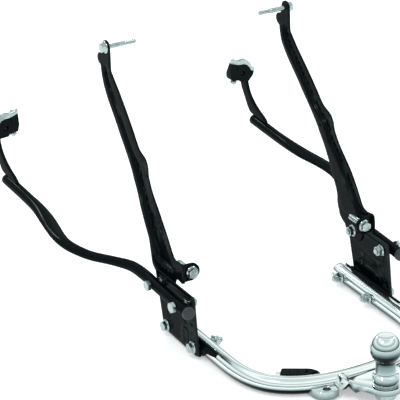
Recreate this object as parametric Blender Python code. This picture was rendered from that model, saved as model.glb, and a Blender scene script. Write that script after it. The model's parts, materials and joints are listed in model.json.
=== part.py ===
"""Bolt-on motorcycle trailer hitch, built as separate sub-parts.

Frame: metres, +Z up, +Y towards the front of the motorcycle, +X to the rider's right.
The origin is under the hitch ball, on the plane of the chrome crossbar's centreline.
Lengths below are written in millimetres and scaled once, by MM.
"""
import math

import bmesh
import bpy
from mathutils import Vector

MM = 0.001
GAP = 0.3                      # clear space left between pieces that touch

# Chrome crossbar: a U-shaped tube open at its two front ends
BAR_R = 14.3
BAR_WALL = 3.0
ARM_X = 160.0
ARM_FRONT_Y = 400.0
BAR_MID_Y = 74.0

# Layers from each arm outwards, as distances from the middle plane
SADDLE_X = (174.6, 178.6)
PLATE_X = (178.9, 182.7)
STAY_R = 9.5
STAY_X = 197.5

# Struts: pressed plates that lean outwards between two bend lines
TAB_X = (166.4, 169.6)
LEAN = 9.0
LEAN_TOP_Z = 350.0
LEAN_LOW_Z = 180.0
DOME = 3.6

# Bolt stations as (y, z)
TOP_BOLT = (580.5, 412.0)
EAR_BOLT = (161.0, 114.5)      # this one runs along Y, so it is (x, z)
BAR_BOLTS = ((372.0, 3.0), (284.0, 3.0))
STAY_BOLTS = ((381.0, 78.0), (298.0, 75.0))

# Ball and its mount
BALL_Z = 79.0
BALL_R = 25.4
BALL_PLATE_Z = (8.3, 18.0)
EAR_Y = (321.5, 326.0)
EAR_R = 15.0


def clear_scene():
    for item in list(bpy.data.objects):
        bpy.data.objects.remove(item, do_unlink=True)


def make_material(name, colour, roughness, metallic):
    material = bpy.data.materials.new(name)
    material.use_nodes = True
    shader = material.node_tree.nodes["Principled BSDF"]
    shader.inputs["Base Color"].default_value = (*colour, 1.0)
    shader.inputs["Roughness"].default_value = roughness
    shader.inputs["Metallic"].default_value = metallic
    material.diffuse_color = (*colour, 1.0)
    return material


FINISHES = {
    "chrome": ((0.80, 0.83, 0.84), 0.08, 1.0),
    "black": ((0.018, 0.022, 0.023), 0.34, 0.0),
    "zinc": ((0.60, 0.66, 0.67), 0.30, 1.0),
    "plastic": ((0.055, 0.068, 0.070), 0.55, 0.0),
}


def link(name, mesh, finish, smooth=False):
    obj = bpy.data.objects.new(name, mesh)
    bpy.context.scene.collection.objects.link(obj)
    if finish:
        mesh.materials.clear()
        mesh.materials.append(make_material(name + "_finish", *FINISHES[finish]))
    if smooth:
        for face in mesh.polygons:
            face.use_smooth = True
        obj.data.set_sharp_from_angle(angle=math.radians(35.0))
    return obj


def mesh_from(name, points, faces):
    """Mesh from points in millimetres, with every face turned outwards."""
    mesh = bpy.data.meshes.new(name)
    mesh.from_pydata([Vector(p) * MM for p in points], [], faces)
    work = bmesh.new()
    work.from_mesh(mesh)
    bmesh.ops.recalc_face_normals(work, faces=work.faces)
    work.to_mesh(mesh)
    work.free()
    return mesh


def prism(name, outline, axis, low, high, finish=None, smooth=False):
    """Straight extrusion of a flat outline along X, Y or Z.

    The outline holds (y, z), (x, z) or (x, y) pairs for those three axes.
    """
    def place(pair, depth):
        if axis == "X":
            return (depth, pair[0], pair[1])
        if axis == "Y":
            return (pair[0], depth, pair[1])
        return (pair[0], pair[1], depth)

    count = len(outline)
    points = [place(p, low) for p in outline] + [place(p, high) for p in outline]
    faces = [tuple(range(count)), tuple(range(2 * count - 1, count - 1, -1))]
    for i in range(count):
        j = (i + 1) % count
        faces.append((i, j, count + j, count + i))
    return link(name, mesh_from(name, points, faces), finish, smooth)


def rounded(outline, radius, steps=3):
    """Round the corners of an outline; radius is one number or one per corner."""
    count = len(outline)
    radii = radius if isinstance(radius, (list, tuple)) else [radius] * count
    result = []
    for i in range(count):
        here = Vector(outline[i])
        before = Vector(outline[i - 1]) - here
        after = Vector(outline[(i + 1) % count]) - here
        reach = min(radii[i], 0.45 * before.length, 0.45 * after.length)
        if reach < 0.01:
            result.append(tuple(here))
            continue
        start = here + before.normalized() * reach
        end = here + after.normalized() * reach
        for k in range(steps + 1):
            t = k / steps
            point = start * (1 - t) ** 2 + here * 2 * t * (1 - t) + end * t ** 2
            result.append(tuple(point))
    return result


def ring_points(radius, count, hexagon):
    """Points round a circle, or round a hexagon given by half its width across flats."""
    points = []
    for i in range(count):
        angle = 2 * math.pi * i / count
        reach = radius
        if hexagon:
            side = (angle + math.pi / 6) % (math.pi / 3) - math.pi / 6
            reach = radius / math.cos(side)
        points.append((reach * math.cos(angle), reach * math.sin(angle)))
    return points


def frame_of(direction):
    """Two unit vectors square to a direction."""
    forward = Vector(direction).normalized()
    helper = Vector((0, 0, 1)) if abs(forward.z) < 0.9 else Vector((0, 1, 0))
    side = helper.cross(forward).normalized()
    return side, forward.cross(side)


def turned(name, base, direction, profile, finish=None, count=18, smooth=True, bore=None):
    """Closed turned solid: profile rows are (distance, radius) or (distance, radius, "hex")."""
    forward = Vector(direction).normalized()
    side, up = frame_of(forward)
    points = []
    for row in profile:
        for a, b in ring_points(row[1], count, len(row) > 2):
            points.append(Vector(base) + forward * row[0] + side * a + up * b)
    rows = len(profile)
    faces = []
    if bore:
        for distance in (profile[-1][0], profile[0][0]):
            for a, b in ring_points(bore, count, False):
                points.append(Vector(base) + forward * distance + side * a + up * b)
        rows += 2
    else:
        faces = [tuple(range(count)), tuple(range((rows - 1) * count, rows * count))]
    last = rows if bore else rows - 1
    for r in range(last):
        for i in range(count):
            j = (i + 1) % count
            low, high = r * count, ((r + 1) % rows) * count
            faces.append((low + i, low + j, high + j, high + i))
    return link(name, mesh_from(name, points, faces), finish, smooth)


def drill(name, base, direction, radius, length, count=18):
    return turned(name, base, direction, [(0.0, radius), (length, radius)], count=count)


def sweep(name, path, section, wall, finish, count=20):
    """Bar along a path; section is a radius, or half a width and half a height per point.

    wall is the thickness of a tube's wall, or 0 for a solid bar.
    """
    path = [Vector(p) for p in path]
    sizes = section if isinstance(section, list) else [(section, section)] * len(path)
    rings = []
    for i, point in enumerate(path):
        ahead = path[min(i + 1, len(path) - 1)]
        behind = path[max(i - 1, 0)]
        tangent = (ahead - behind).normalized()
        side = tangent.cross(Vector((0, 0, 1))).normalized()
        rings.append((point, side * sizes[i][0], side.cross(tangent).normalized() * sizes[i][1]))
    layers = [(0.0, rings)]
    if wall:
        layers.append((wall, rings[::-1]))
    points = []
    for depth, order in layers:
        for point, side, rise in order:
            across, up = 1.0 - depth / side.length, 1.0 - depth / rise.length
            for a, b in ring_points(1.0, count, False):
                points.append(point + side * across * a + rise * up * b)
    total = len(layers) * len(rings)
    faces = []
    for r in range(total if wall else total - 1):
        for i in range(count):
            j = (i + 1) % count
            low, high = r * count, ((r + 1) % total) * count
            faces.append((low + i, low + j, high + j, high + i))
    if not wall:
        faces += [tuple(range(count)), tuple(range((total - 1) * count, total * count))]
    return link(name, mesh_from(name, points, faces), finish, smooth=True)


def combine(obj, others, operation, smooth=False):
    """Cut from, or weld into, an object; the helpers are removed afterwards."""
    for other in others:
        modifier = obj.modifiers.new(operation.lower(), "BOOLEAN")
        modifier.operation = operation
        modifier.solver = "EXACT"
        modifier.object = other
    bake(obj, smooth)
    for other in others:
        bpy.data.objects.remove(other, do_unlink=True)
    return obj


def bake(obj, smooth=False):
    """Replace an object's mesh by its finished shape."""
    bpy.context.view_layer.update()
    shape = obj.evaluated_get(bpy.context.evaluated_depsgraph_get())
    mesh = bpy.data.meshes.new_from_object(shape)
    finish = obj.data.materials[0] if obj.data.materials else None
    obj.modifiers.clear()
    obj.data = mesh
    mesh.materials.clear()
    if finish:
        mesh.materials.append(finish)
    work = bmesh.new()
    work.from_mesh(mesh)
    bmesh.ops.remove_doubles(work, verts=work.verts, dist=0.00001)
    bmesh.ops.dissolve_degenerate(work, edges=work.edges, dist=0.00001)
    bmesh.ops.recalc_face_normals(work, faces=work.faces)
    work.to_mesh(mesh)
    work.free()
    for face in mesh.polygons:
        face.material_index = 0
        face.use_smooth = smooth
    if smooth:
        mesh.set_sharp_from_angle(angle=math.radians(35.0))


def soften(obj, width, smooth=False):
    """Small bevel on the sharp edges."""
    modifier = obj.modifiers.new("edge_break", "BEVEL")
    modifier.width = width * MM
    modifier.segments = 1
    modifier.limit_method = "ANGLE"
    modifier.angle_limit = math.radians(50.0)
    bake(obj, smooth)


def mirrored(obj, name):
    """The same piece for the other side, reflected in the middle plane."""
    mesh = obj.data.copy()
    work = bmesh.new()
    work.from_mesh(mesh)
    for vert in work.verts:
        vert.co.x = -vert.co.x
    bmesh.ops.reverse_faces(work, faces=work.faces)
    work.to_mesh(mesh)
    work.free()
    mesh.materials.clear()
    finish = obj.data.materials[0].copy()
    finish.name = name + "_finish"
    mesh.materials.append(finish)
    twin = bpy.data.objects.new(name, mesh)
    bpy.context.scene.collection.objects.link(twin)
    return twin


def both_sides(obj, name):
    obj.name = name + "_right"
    obj.data.materials[0].name = name + "_right_finish"
    return obj, mirrored(obj, name + "_left")


def numbered(obj, name, number):
    """Left and right copies of one of several like pieces, such as bar_bolt_right_2."""
    obj.name = "{}_right_{}".format(name, number)
    obj.data.materials[0].name = obj.name + "_finish"
    return obj, mirrored(obj, "{}_left_{}".format(name, number))


def set_origin(obj, point):
    """Move an object's origin to a point on its joint axis, leaving its shape in place."""
    shift = Vector(point) * MM
    for vert in obj.data.vertices:
        vert.co -= shift
    obj.location = shift


# ---------------------------------------------------------------- fasteners

def flange_bolt(name, base, direction, shank_r, length, flange_r=10.4, flats=7.6, finish=None):
    """Flanged hexagon bolt; base is the seat under its flange, direction runs along the shank."""
    profile = [
        (-8.2, flats - 1.6),
        (-7.4, flats, "hex"),
        (-2.6, flats, "hex"),
        (-2.2, flange_r - 1.4),
        (-1.2, flange_r),
        (0.0, flange_r),
        (0.0, shank_r),
        (length - 1.2, shank_r),
        (length, shank_r - 1.0),
    ]
    return turned(name, base, direction, profile, finish)


def hex_bolt(name, base, direction, shank_r, length, flats=8.2, finish=None):
    """Plain hexagon bolt with a washer face."""
    profile = [
        (-6.6, flats - 1.4),
        (-6.0, flats, "hex"),
        (-0.8, flats, "hex"),
        (-0.7, flats - 0.4),
        (0.0, flats - 0.4),
        (0.0, shank_r),
        (length - 1.2, shank_r),
        (length, shank_r - 1.0),
    ]
    return turned(name, base, direction, profile, finish)


def flange_nut(name, base, direction, bore, flange_r=10.2, flats=7.6, height=9.0):
    """Flanged hexagon nut; base is its seat, direction points out of the joint."""
    profile = [
        (0.0, flange_r),
        (1.0, flange_r),
        (2.2, flange_r - 1.6),
        (2.6, flats, "hex"),
        (height - 0.8, flats, "hex"),
        (height, flats - 1.2),
    ]
    return turned(name, base, direction, profile, "zinc", bore=bore)


# ---------------------------------------------------------------- chrome crossbar

def crossbar_path():
    """Centreline: straight arms, wide bends, and a slightly bowed rear span."""
    bend = [
        (ARM_X, ARM_FRONT_Y),
        (ARM_X, 222.0),
        (159.6, 200.0),
        (158.0, 180.0),
        (154.4, 160.0),
        (148.4, 142.0),
        (139.6, 126.0),
        (128.0, 112.6),
        (114.0, 101.6),
        (98.0, 92.6),
        (80.0, 85.6),
        (58.0, 79.6),
        (32.0, 75.6),
    ]
    right = [(x, y, 0.0) for x, y in bend]
    left = [(-x, y, 0.0) for x, y in reversed(bend)]
    return right + [(0.0, BAR_MID_Y, 0.0)] + left


def build_crossbar():
    bar = sweep("crossbar_tube", crossbar_path(), BAR_R, BAR_WALL, "chrome", 24)
    cutters = []
    for side in (-1, 1):
        for y, z in BAR_BOLTS:
            base = (side * (ARM_X - 20), y, z)
            cutters.append(drill("hole", base, (side, 0, 0), 5.3, 40.0))
    combine(bar, cutters, "DIFFERENCE", smooth=True)
    return bar


# ---------------------------------------------------------------- side plates and saddles

def build_saddle():
    """Steel sleeve hugging the arm, with a flat pad that the side plate bolts against."""
    pad = [(270, -11), (273, 9), (390, 9), (386, -11)]
    strap = prism("saddle", rounded(pad, 3), "X", *SADDLE_X, "black")
    inner, outer = BAR_R + GAP, BAR_R + GAP + 2.5
    angles = [math.radians(-22 + 77 * i / 7) for i in range(8)]
    lip = [(ARM_X + outer * math.cos(a), outer * math.sin(a)) for a in angles]
    lip += [(ARM_X + inner * math.cos(a), inner * math.sin(a)) for a in reversed(angles)]
    curl = prism("curl", lip, "Y", 230.0, 394.0)
    nose = prism("nose", [(222, -20), (222, 8), (234, 7), (248, 5), (258, 0), (264, -7),
                          (266, -20)], "X", 130.0, 185.0)
    combine(curl, [nose], "DIFFERENCE")
    holes = [drill("hole", (170, y, z), (1, 0, 0), 5.3, 20.0) for y, z in BAR_BOLTS]
    combine(strap, [curl], "UNION")
    combine(strap, holes, "DIFFERENCE")
    return both_sides(strap, "saddle")


def build_side_plate():
    outline = rounded([(268, -9), (279, 91), (406, 91), (381, -6)], [7, 6, 7, 7], 4)
    plate = prism("side_plate", outline, "X", *PLATE_X, "black")
    top = PLATE_X[1] - 1.0
    ribs = [
        rounded([(318, 19), (318, -1), (314, -1), (314, 19)], 1.5, 2),
        rounded([(304, 24), (303, 2), (299, 2), (300, 24)], 1.5, 2),
        rounded([(312, 26), (312, 29), (304, 29), (304, 26)], 1.2, 2),
        rounded([(292, 40), (292, 44), (284, 44), (284, 40)], 1.5, 2),
    ]
    combine(plate, [prism("rib", rib, "X", top, top + 2.2) for rib in ribs], "UNION")
    holes = [drill("hole", (170, y, z), (1, 0, 0), 5.3, 30.0) for y, z in BAR_BOLTS + STAY_BOLTS]
    combine(plate, holes, "DIFFERENCE")
    soften(plate, 0.6)
    return both_sides(plate, "side_plate")


# ---------------------------------------------------------------- struts

STRUT_OUTLINE = [
    (571, 418.5), (575, 422.2), (580, 423.6), (585.5, 422.5), (590, 419), (592.5, 413),
    (593, 405), (597, 398), (604, 395.5), (609, 392.5), (612, 385), (608.6, 377.8),
    (601.5, 374.5), (600, 366), (595.5, 350), (586.5, 335), (572, 318), (550.7, 297),
    (532.6, 277), (518.5, 263), (503, 246), (490.5, 231), (483, 219), (471, 202), (459, 180),
    (446, 155), (433.5, 134), (428.7, 115), (426, 103), (423, 92), (414, 84), (406, 80),
    (401, 69), (392, 62), (372, 61), (361, 66), (352, 77), (346, 93), (336, 99.5),
    (318, 99.5), (318, 129.5), (338, 128.5), (352, 132.5),
    (361.5, 145.3), (373, 162), (390.5, 184), (407, 201.4), (422, 217), (432, 231.8),
    (436.5, 240.6), (438, 250.5), (440, 256), (444.5, 263), (453, 268), (467, 273),
    (479.7, 285), (490.3, 297), (510.4, 317.7), (532, 338.5), (549.6, 355), (564, 369.5),
    (568, 374), (569, 384), (569, 405),
]
TROUGH_FRONT = [(588, 379), (592, 369), (588, 356), (576, 340), (560, 322), (540, 302),
                (522, 282), (505, 262), (489, 244), (478, 230), (468, 215), (456, 194),
                (444, 172), (430, 146), (416, 120), (408, 106)]
TROUGH_REAR = [(350, 106), (358, 124), (371, 140), (391, 161), (409, 181), (425, 201),
               (443, 218), (450, 230), (456, 243), (465, 251), (478, 259), (491, 269),
               (504, 283), (524, 305), (545, 326), (564, 346), (575, 361), (580, 376)]


def inset(outline, distance):
    """Outline moved inwards by a distance, for the sloping wall of a pressing."""
    count = len(outline)
    area = sum(outline[i - 1][0] * outline[i][1] - outline[i][0] * outline[i - 1][1]
               for i in range(count))
    turn = 1.0 if area > 0 else -1.0
    result = []
    for i in range(count):
        before = (Vector(outline[i]) - Vector(outline[i - 1])).normalized()
        after = (Vector(outline[(i + 1) % count]) - Vector(outline[i])).normalized()
        normal = Vector((-before.y - after.y, before.x + after.x)) * turn
        normal.normalize()
        square = Vector((-before.y, before.x)) * turn
        stretch = min(1.6, 1.0 / max(0.4, normal.dot(square)))
        result.append(tuple(Vector(outline[i]) + normal * distance * stretch))
    return result


def frustum(name, outline, x_wide, x_narrow, distance):
    """Shallow block along X whose narrow face is inset from its wide face."""
    narrow = inset(outline, distance)
    count = len(outline)
    points = [(x_wide, y, z) for y, z in outline] + [(x_narrow, y, z) for y, z in narrow]
    faces = [tuple(range(count)), tuple(range(2 * count - 1, count - 1, -1))]
    for i in range(count):
        j = (i + 1) % count
        faces.append((i, j, count + j, count + i))
    return link(name, mesh_from(name, points, faces), None)


def lean_out(obj):
    """Bend the pressing: plane above the top line, sloped between the lines, plane below."""
    work = bmesh.new()
    work.from_mesh(obj.data)
    for height in (LEAN_TOP_Z, LEAN_LOW_Z):
        geometry = work.verts[:] + work.edges[:] + work.faces[:]
        bmesh.ops.bisect_plane(work, geom=geometry, plane_co=(0, 0, height * MM),
                               plane_no=(0, 0, 1), dist=1e-6)
    span = LEAN_TOP_Z - LEAN_LOW_Z
    for vert in work.verts:
        share = (LEAN_TOP_Z - vert.co.z / MM) / span
        vert.co.x += LEAN * MM * min(1.0, max(0.0, share))
    bmesh.ops.recalc_face_normals(work, faces=work.faces)
    work.to_mesh(obj.data)
    work.free()


def build_strut():
    """Pressed upright with a raised trough; the trough is open on its outer side."""
    low, high = TAB_X
    strut = prism("strut", STRUT_OUTLINE, "X", low, high, "black")
    trough = TROUGH_FRONT + TROUGH_REAR
    dome = frustum("dome", trough, low + 1.0, low - DOME, 2.6)
    hollow = frustum("hollow", inset(trough, 2.6), high + 0.4, high - DOME, 2.4)
    combine(strut, [dome], "UNION")
    holes = [
        drill("hole", (low - 10, *TOP_BOLT), (1, 0, 0), 4.3, 30.0),
        drill("hole", (low - 10, STAY_BOLTS[0][0], STAY_BOLTS[0][1]), (1, 0, 0), 5.3, 30.0),
        drill("hole", (low - 10, 468.0, 239.5), (1, 0, 0), 3.6, 30.0, 12),
        drill("hole", (low - 10, 421.0, 153.6), (1, 0, 0), 2.4, 30.0, 12),
    ]
    combine(strut, [hollow] + holes, "DIFFERENCE")
    lean_out(strut)
    return both_sides(strut, "strut")


def build_ear():
    """Rounded bracket square to the strut, with the hole for the frame bolt."""
    x, z = EAR_BOLT
    arc = [(x + EAR_R * math.cos(math.radians(a)), z + EAR_R * math.sin(math.radians(a)))
           for a in range(90, 271, 18)]
    edge = TAB_X[0] + LEAN - GAP
    outline = arc + [(edge, z - EAR_R), (edge, z + EAR_R)]
    ear = prism("ear", outline, "Y", *EAR_Y, "black")
    hole = drill("hole", (x, 300, z), (0, 1, 0), 5.3, 40.0)
    combine(ear, [hole], "DIFFERENCE")
    soften(ear, 0.5)
    return both_sides(ear, "ear")


# ---------------------------------------------------------------- front stays

# Rows are (x, y, z, half the width, half the height): the tube is pressed flatter in its bend
STAY_KNOTS = [
    (STAY_X, 270, 74.5, 9.5, 9.5), (STAY_X, 381, 78.0, 9.5, 9.5), (STAY_X, 415, 79.6, 9.5, 9.4),
    (202.6, 450, 81.8, 9.2, 8.8), (218.8, 485, 81.0, 8.8, 7.5),
    (240.8, 520, 81.0, 8.9, 7.4), (254.8, 550, 83.9, 9.7, 7.6), (260.6, 575, 86.1, 10.6, 7.4),
    (260.6, 600, 88.0, 11.9, 6.4), (256.6, 630, 89.9, 13.0, 5.8), (250.8, 665, 91.2, 13.1, 6.9),
    (246.4, 705, 93.4, 11.2, 8.4), (245.0, 750, 94.8, 9.5, 9.3),
    (244.8, 832, 98.2, 9.5, 9.5),
]


def eased(knots, steps):
    """Rows on a smooth curve through the knots, with this many steps between two of them."""
    rows = []
    for i in range(len(knots) - 1):
        one, two = Vector(knots[i]), Vector(knots[i + 1])
        before = Vector(knots[i - 1]) if i else one
        after = Vector(knots[min(i + 2, len(knots) - 1)])
        reach = (two - one).length
        leave = (two - before) * reach / (two - before).length
        arrive = (after - one) * reach / (after - one).length
        for k in range(steps):
            t = k / steps
            rows.append(one * (2 * t ** 3 - 3 * t ** 2 + 1) + leave * (t ** 3 - 2 * t ** 2 + t)
                        + two * (3 * t ** 2 - 2 * t ** 3) + arrive * (t ** 3 - t ** 2))
    return rows + [Vector(knots[-1])]


def build_stay():
    rows = eased(STAY_KNOTS, 2)
    stay = sweep("stay_tube", [row[:3] for row in rows], [(row[3], row[4]) for row in rows],
                 2.0, "black", 16)
    cutters = [drill("hole", (STAY_X - 20, y, z), (1, 0, 0), 5.3, 40.0) for y, z in STAY_BOLTS]
    combine(stay, cutters, "DIFFERENCE", smooth=True)
    both_sides(stay, "stay_tube")
    ends = (("stay_end_cap", STAY_KNOTS[0], STAY_KNOTS[1], STAY_R + 1.0, 5.0),
            ("stay_front_plug", STAY_KNOTS[-1], STAY_KNOTS[-2], STAY_R, 1.6))
    for name, tip, further, outer, lip in ends:
        inwards = (Vector(further[:3]) - Vector(tip[:3])).normalized()
        profile = [
            (-lip - 2.0, outer - 3.4),
            (-lip - 1.2, outer - 1.2),
            (-lip, outer),
            (0.0, outer),
            (0.0, STAY_R - 2.0 - GAP),
            (12.0, STAY_R - 2.0 - GAP),
        ]
        cap = turned(name, Vector(tip[:3]) - inwards * GAP, inwards, profile, "plastic", 16)
        both_sides(cap, name)


def build_stem():
    """Curved blade that stands on the front of the stay tube and carries the clamp."""
    outline = [
        (838, 108.4), (846, 111.6), (853, 119), (863, 133), (873, 148), (879.5, 166.4),
        (857, 166.4), (854.5, 158), (850, 148), (842, 138.5), (831, 130), (815, 121.5),
        (799, 115.5), (791, 111), (788, 106.9),
    ]
    stem = prism("stem", outline, "X", 242.0, 248.0, "black")
    soften(stem, 0.6)
    return both_sides(stem, "stem")


CLAMP_BOLT = (217.0, 857.5)
CLAMP_TOP = [(256, 184), (249.5, 186.5), (246.5, 193), (242, 198.5), (235.5, 201.5),
             (228, 201.5), (221, 203), (210, 207)]


def build_clamp():
    """Split clamp: a black lower block and a plated strap that closes over it."""
    y_low, y_high = 850.0, 871.0
    slope = [(855, 230), (855, 214), (871.5, 176), (885, 176), (885, 230)]
    lower = CLAMP_TOP + [(208, 186), (211, 174), (227, 171.5), (229, 168), (245, 167),
                         (254, 177)]
    body = prism("clamp_body", lower, "Y", y_low, y_high, "black")
    cutters = [
        drill("hole", (*CLAMP_BOLT, 150), (0, 0, 1), 3.3, 80.0, 12),
        drill("hole", (233, 840, 184.5), (0, 1, 0), 4.6, 60.0),
        prism("groove", [(222.4, 192), (221, 192), (221, 215), (222.4, 215)], "Y", 845.0, 852.0),
        prism("slope", slope, "X", 180.0, 280.0),
    ]
    combine(body, cutters, "DIFFERENCE")
    soften(body, 0.6)
    both_sides(body, "clamp_body")

    under = [(x + (0.35 if x > 243 else 0.0), z + 0.4) for x, z in CLAMP_TOP]
    over = [(210, 215), (219, 211.5), (226, 209), (231, 210.5), (238, 210.5), (245, 206),
            (249.5, 200), (251, 194), (257.5, 190)]
    strap = prism("clamp_strap", under + over, "Y", y_low, y_high, "zinc")
    cutters = [
        drill("hole", (*CLAMP_BOLT, 150), (0, 0, 1), 3.3, 80.0, 12),
        drill("hole", (*CLAMP_BOLT, 207.6), (0, 0, 1), 5.2, 20.0, 12),
        prism("slope", slope, "X", 180.0, 280.0),
    ]
    combine(strap, cutters, "DIFFERENCE")
    both_sides(strap, "clamp_strap")

    bolt = turned("clamp_bolt", (*CLAMP_BOLT, 207.9), (0, 0, -1),
                  [(-3.4, 3.6), (-2.6, 4.6), (0, 4.8), (0, 3.0), (43.5, 3.0), (44.2, 2.4)],
                  "zinc", 12)
    both_sides(bolt, "clamp_bolt")
    nut = turned("nut", (*CLAMP_BOLT, 170.4), (0, 0, -1),
                 [(0, 5.2), (0.5, 5.2, "hex"), (4.0, 5.2, "hex"), (4.6, 4.4)],
                 "zinc", 12, bore=3.3)
    both_sides(nut, "clamp_nut")


# ---------------------------------------------------------------- bolts through the side plates

def build_side_fasteners():
    for number, (y, z) in enumerate(BAR_BOLTS, 1):
        bolt = flange_bolt("bolt", (PLATE_X[1] + GAP, y, z), (-1, 0, 0), 5.0, 53.0, finish="zinc")
        numbered(bolt, "bar_bolt", number)
        nut = flange_nut("nut", (ARM_X - BAR_R - 0.6, y, z), (-1, 0, 0), 5.3)
        numbered(nut, "bar_nut", number)

    seats = (TAB_X[0] + LEAN - GAP, PLATE_X[0] - GAP)
    for number, ((y, z), seat) in enumerate(zip(STAY_BOLTS, seats), 1):
        head = (STAY_X + STAY_R + GAP, y, z)
        bolt = hex_bolt("bolt", head, (-1, 0, 0), 5.0, head[0] - seat + 12.0, finish="zinc")
        numbered(bolt, "stay_bolt", number)
        numbered(flange_nut("nut", (seat, y, z), (-1, 0, 0), 5.3), "stay_nut", number)
        inner = PLATE_X[1] + GAP
        spacer = turned("spacer", (inner, y, z), (1, 0, 0),
                        [(0, 8.0), (STAY_X - STAY_R - GAP - inner, 8.0)], "zinc", bore=5.3)
        numbered(spacer, "stay_spacer", number)


def build_frame_bolts():
    """Long bolts that fix the hitch to the motorcycle; each slides out of its hole."""
    y, z = TOP_BOLT
    profile = [(-8.6, 6.0), (-7.8, 7.4, "hex"), (-2.8, 7.4, "hex"), (-2.4, 9.4), (-1.2, 10.2),
               (0, 10.2), (0, 4.0), (32.0, 4.0), (32.6, 3.5), (54.0, 3.5), (55.0, 2.8)]
    bolt = turned("top_bolt", (TAB_X[1] + GAP, y, z), (-1, 0, 0), profile, "zinc")
    for obj, side in zip(both_sides(bolt, "top_bolt"), (1, -1)):
        set_origin(obj, (side * (TAB_X[1] + GAP), y, z))
    x, z = EAR_BOLT
    bolt = flange_bolt("ear_bolt", (x, EAR_Y[0] - GAP, z), (0, 1, 0), 5.0, 43.0, finish="zinc")
    for obj, side in zip(both_sides(bolt, "ear_bolt"), (1, -1)):
        set_origin(obj, (side * x, EAR_Y[0] - GAP, z))


# ---------------------------------------------------------------- ball and mount

def gusset(side):
    """Leaning foot under one wing of the ball plate, reaching back to the crossbar."""
    top = [(35, 37), (43.5, 37), (43.5, 70), (35, 70)]
    foot = [(45, 42.5), (53, 42.5), (53, 74), (45, 74)]
    points = [(side * x, y, 14.0) for x, y in top] + [(side * x, y, 1.2) for x, y in foot]
    faces = [(0, 1, 2, 3), (7, 6, 5, 4), (0, 4, 5, 1), (1, 5, 6, 2), (2, 6, 7, 3), (3, 7, 4, 0)]
    return link("gusset", mesh_from("gusset", points, faces), None)


def build_ball_mount():
    """Flat plate under the ball, with two gussets that hug the crossbar."""
    low, high = BALL_PLATE_Z
    nose = [(26.5 * math.cos(math.radians(a)), 26.5 * math.sin(math.radians(a)))
            for a in range(-160, -19, 10)]
    outline = nose + [(30, 4), (36, 13), (41, 20), (44, 27), (44, 36), (41, 42), (36, 45),
                      (-36, 45), (-41, 42), (-44, 36), (-44, 27), (-41, 20), (-36, 13), (-30, 4)]
    plate = prism("ball_plate", outline, "Z", low, high, "chrome")
    webs = [prism("web", [(28, low + 1), (30, 2), (40, -9.5), (90, -9.5), (90, low + 1)],
                  "X", x - 3.5, x + 3.5) for x in (-26.0, 26.0)]
    tail = prism("tail", [(40, low), (40, high - 0.5), (46, high - 0.5), (65, low + 2), (65, low)],
                 "X", -38.0, 38.0)
    gussets = [gusset(side) for side in (-1, 1)]
    combine(plate, webs + [tail] + gussets, "UNION")
    holes = [
        drill("hole", (0, 0, low - 5), (0, 0, 1), 9.8, 25.0, 24),
        sweep("bar_space", crossbar_path(), BAR_R + GAP, 0, None, 24),
        prism("far_side", [(BAR_MID_Y, -30), (BAR_MID_Y, 30), (110, 30), (110, -30)],
              "X", -80.0, 80.0),
    ]
    combine(plate, holes, "DIFFERENCE")
    soften(plate, 0.6)


def build_ball():
    profile = [(79.0 + BALL_R * math.sin(math.radians(a)), BALL_R * math.cos(math.radians(a)))
               for a in (52, 42, 31, 20, 9, -2, -13, -24, -35, -46)]
    profile += [
        (58.6, 16.6), (55.0, 16.0), (40.0, 16.0), (37.0, 16.8), (34.6, 18.6), (33.4, 20.2),
        (32.4, 20.8), (23.6, 20.8), (22.3, 19.8), (22.3, 9.5), (-11.0, 9.5), (-12.5, 8.2),
    ]
    rows = [(BALL_Z - height, radius) for height, radius in profile]
    ball = turned("hitch_ball", (0, 0, BALL_Z), (0, 0, -1), rows, "chrome", 32)
    set_origin(ball, (0, 0, 0))
    turned("ball_washer", (0, 0, 18.3), (0, 0, 1), [(0, 19.6), (3.7, 19.6)], "zinc", 24, bore=9.8)
    turned("ball_nut", (0, 0, 8.0), (0, 0, -1),
           [(0, 13.2), (1.0, 14.2, "hex"), (14.0, 14.2, "hex"), (15.4, 12.8)], "zinc", 24,
           bore=9.8)


def build_chain_lugs():
    """Flat eyes behind the crossbar for the safety chains."""
    outline = [(94, 98), (90, 66), (86, 55), (77, 48), (65, 46), (54, 50), (47, 60), (44, 80)]
    lug = prism("chain_lug", outline, "Z", -12.5, 0.4, "chrome")
    cutters = [
        sweep("bar_space", crossbar_path(), BAR_R + GAP, 0, None, 24),
        drill("hole", (70, 59.5, -20), (0, 0, 1), 6.5, 40.0, 14),
    ]
    combine(lug, cutters, "DIFFERENCE")
    soften(lug, 0.7)
    both_sides(lug, "chain_lug")


def build_connector_bracket():
    """Small flat bracket in front of the crossbar for the trailer's wiring socket."""
    outline = rounded([(-108, 90), (-112, 132), (-99, 148), (-61, 124), (-54, 112), (-58, 84)],
                      [2, 5, 4, 5, 6, 2], 3)
    plate = prism("connector_plate", outline, "Z", 0.0, 4.0, "black")
    ribs = [prism("rib", [(x, y), (x + 2, y), (x + 10, y + 24), (x + 8, y + 24)], "Z", 3.0, 4.7)
            for x, y in ((-102, 109), (-90, 106))]
    combine(plate, ribs, "UNION")
    lug = prism("connector_lug", rounded([(-124, 96), (-123, 130), (-109, 150), (-96, 142),
                                          (-84, 88)], [2, 8, 5, 4, 2], 3),
                "Z", -3.8, -0.3, "chrome")
    for piece in (plate, lug):
        cutters = [
            sweep("bar_space", crossbar_path(), BAR_R + GAP, 0, None, 24),
            prism("rear", [(-140, 40), (-140, 104), (-60, 78), (-40, 70), (-40, 40)],
                  "Z", -20.0, 20.0),
            drill("hole", (-72, 118, -10), (0, 0, 1), 2.6, 20.0, 12),
            drill("hole", (-116, 118, -10), (0, 0, 1), 2.6, 20.0, 12),
        ]
        combine(piece, cutters, "DIFFERENCE")


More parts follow.
